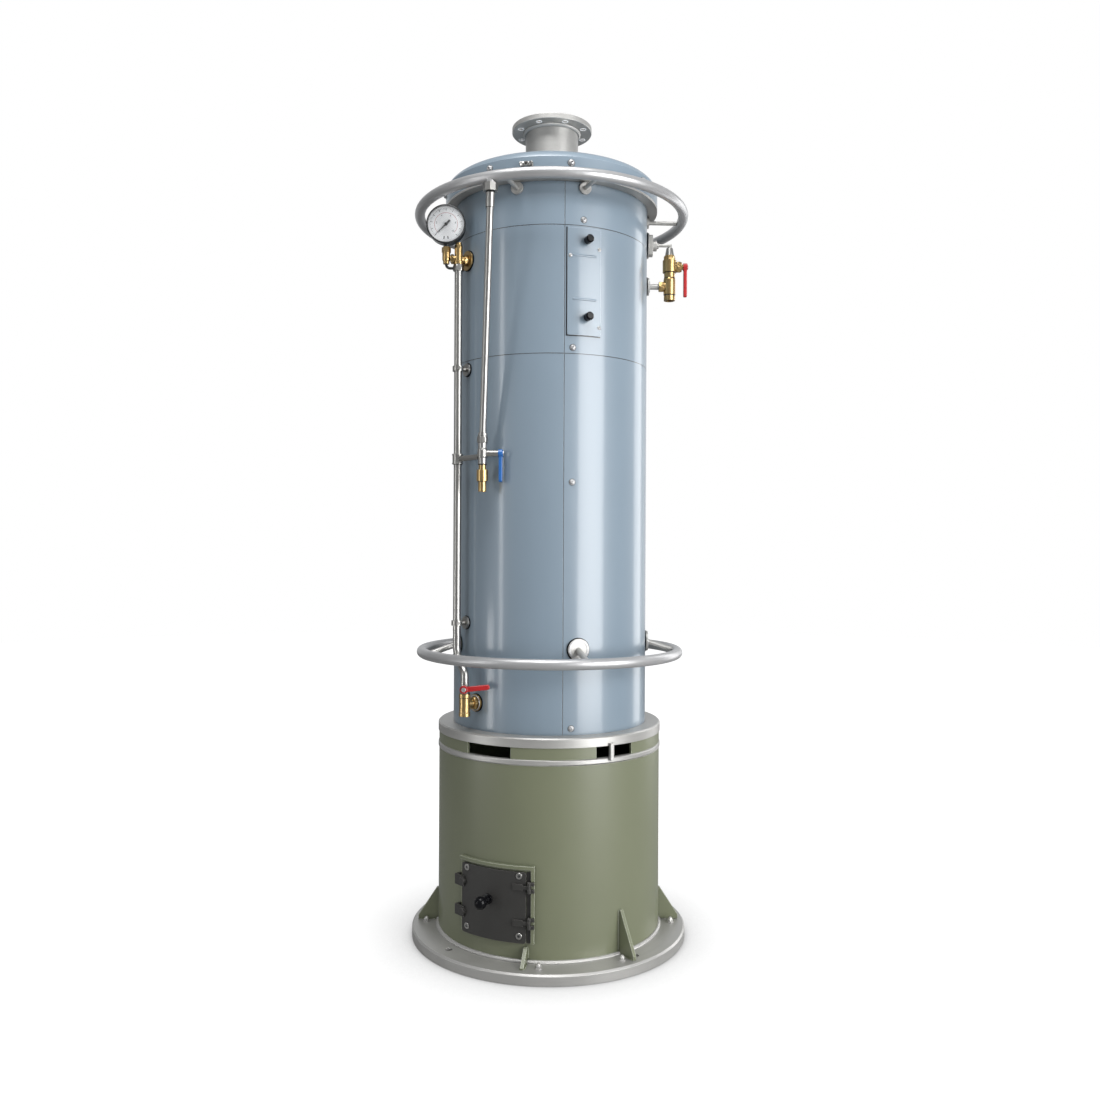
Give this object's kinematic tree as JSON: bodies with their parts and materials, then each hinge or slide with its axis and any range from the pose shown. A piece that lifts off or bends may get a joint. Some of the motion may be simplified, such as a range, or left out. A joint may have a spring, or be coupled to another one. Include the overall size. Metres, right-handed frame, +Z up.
{
  "type": "industrial boiler",
  "caption": "Upright cylindrical industrial boiler on a green skirt with a firebox door, jacketed body, guard rings, gauge, valves and a flanged flue.",
  "frame": {"origin": "middle of the base plate's underside, on the floor", "axes": "+Z up along the boiler's axis, -Y towards the front with the door and the access panel, +X to the right"},
  "size_m": [0.6864, 0.683, 2.0135],
  "materials": {
    "sage_paint": "satin sage green paint",
    "bare_steel": "brushed bare steel",
    "ring_steel": "satin steel tube",
    "blue_grey_paint": "satin blue-grey paint",
    "door_black": "heat-proof black paint",
    "knob_plastic": "gloss black moulding",
    "polished_steel": "polished",
    "brass": "machined and cast brass",
    "gauge_black": "black enamel",
    "dial_white": "printed white dial",
    "gauge_glass": "clear",
    "red_lever": "red dipped lever",
    "blue_lever": "blue dipped lever"
  },
  "bodies": {
    "root": {"base_skirt": "sage_paint", "gussets": "sage_paint", "vent_band": "sage_paint", "door_frame": "sage_paint", "base_flange": "bare_steel", "vent_bead": "bare_steel", "base_top_ring": "bare_steel", "ring_clip": "bare_steel", "drum": "bare_steel", "flue_pipe": "bare_steel", "flue_flange": "bare_steel", "lid_flange": "bare_steel", "upper_ring_brackets": "bare_steel", "lower_ring_brackets": "bare_steel", "side_bracket": "bare_steel", "side_pipe": "bare_steel", "upper_ring": "ring_steel", "lower_ring": "ring_steel", "lower_jacket_left": "blue_grey_paint", "lower_jacket_right": "blue_grey_paint", "middle_jacket_left": "blue_grey_paint", "middle_jacket_right": "blue_grey_paint", "top_jacket_left": "blue_grey_paint", "top_jacket_right": "blue_grey_paint", "lid": "blue_grey_paint", "access_panel": "blue_grey_paint", "hinge_brackets": "door_black", "catch_keepers": "door_black", "panel_knobs": "knob_plastic", "standpipe": "polished_steel", "pipe_clamps": "polished_steel", "link_pipe": "polished_steel", "downpipe_valve": "polished_steel", "downpipe_union": "polished_steel", "downpipe": "polished_steel", "drain_valve": "polished_steel", "side_cone": "polished_steel", "gauge_cross": "brass", "gauge_elbow": "brass", "downpipe_nozzle": "brass", "drain_tee": "brass", "side_valve": "brass", "side_tee": "brass", "gauge_case": "gauge_black", "gauge_needle": "gauge_black", "bleed_tube": "gauge_black", "gauge_dial": "dial_white", "gauge_glass": "gauge_glass"},
    "door": {"firebox_door": "door_black", "door_knob": "knob_plastic", "hinge_straps": "door_black", "door_catches": "door_black"},
    "side_handle": {"side_lever": "red_lever"},
    "downpipe_handle": {"downpipe_lever": "blue_lever"},
    "drain_handle": {"drain_lever": "red_lever"}
  },
  "joints": [
    {"name": "door_hinge", "type": "hinge", "parent": "root", "child": "door", "pos_m": [-0.04383, -0.2848, 0.15], "axis": [0, 0, 1], "range_deg": [0, 110]},
    {"name": "side_lever_turn", "type": "hinge", "parent": "root", "child": "side_handle", "pos_m": [0.332, 0, 1.6675], "axis": [-1, 0, 0], "range_deg": [0, 90]},
    {"name": "downpipe_lever_turn", "type": "hinge", "parent": "root", "child": "downpipe_handle", "pos_m": [-0.12004, -0.22723, 1.1745], "axis": [-1, 0, 0], "range_deg": [0, 90]},
    {"name": "drain_lever_turn", "type": "hinge", "parent": "root", "child": "drain_handle", "pos_m": [-0.19719, -0.21111, 0.6305], "axis": [0, -1, 0], "range_deg": [0, 90]}
  ]
}
